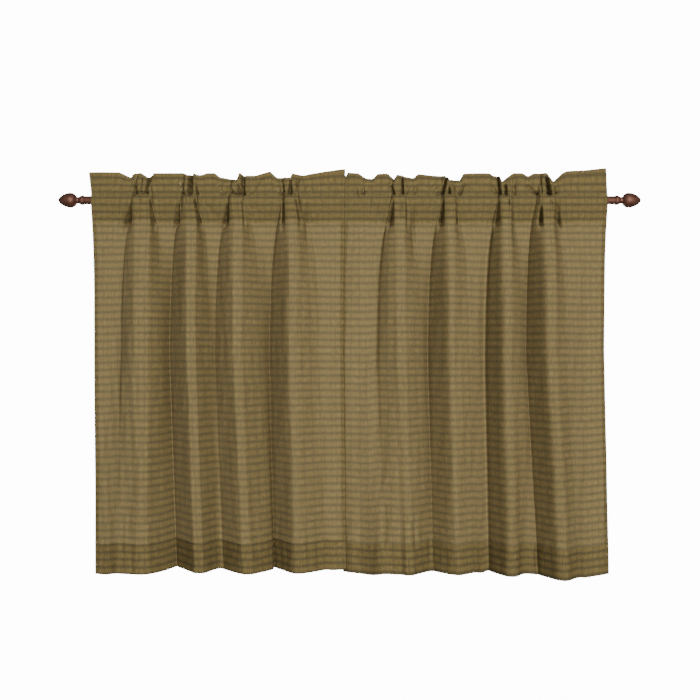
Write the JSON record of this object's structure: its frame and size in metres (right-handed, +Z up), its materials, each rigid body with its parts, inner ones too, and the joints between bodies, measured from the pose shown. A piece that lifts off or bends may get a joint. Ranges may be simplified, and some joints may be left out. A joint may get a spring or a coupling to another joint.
{
  "type": "tier curtains with their rod",
  "caption": "Gathered rod-pocket tier curtain panels of small-check cotton hanging on a plain rod with acorn finials.",
  "frame": {"origin": "on the rod's axis, at the middle of its length", "axes": "+X along the rod to the right as seen from the room, -Y towards the room, +Z up"},
  "size_m": [1.3306, 0.1187, 0.9284],
  "materials": {
    "cloth": "yarn-dyed plain weave cotton in a small olive and ochre check",
    "rod": "satin reddish bronze",
    "finial": "satin reddish bronze"
  },
  "bodies": {
    "root": {"panel_left": "cloth", "panel_right": "cloth", "rod": "rod", "finial_left": "finial", "finial_right": "finial"}
  },
  "joints": []
}
